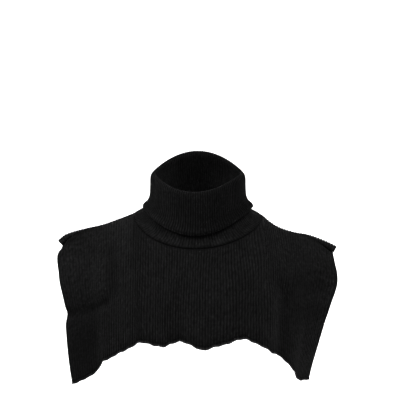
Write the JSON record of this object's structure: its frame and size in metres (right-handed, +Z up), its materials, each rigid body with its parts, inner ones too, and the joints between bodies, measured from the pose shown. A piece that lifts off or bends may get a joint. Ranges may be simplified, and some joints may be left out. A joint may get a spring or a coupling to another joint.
{
  "type": "turtleneck dickey",
  "caption": "False turtleneck in black rib knit: a roll collar folded over once, sewn to a front bib and a back bib that hang from the shoulders under a jacket or jumper.",
  "frame": {"origin": "the middle of the neck opening, level with the neck points at the shoulders, where the neck holds the dickey up", "axes": "+Z up along the neck, the front bib faces -Y, +X to the right of someone who faces the front"},
  "size_m": [0.3705, 0.2171, 0.3039],
  "materials": {
    "rib_knit": "matt black rib knit"
  },
  "bodies": {
    "root": {"front_bib": "rib_knit", "back_bib": "rib_knit", "roll_collar": "rib_knit"}
  },
  "joints": []
}
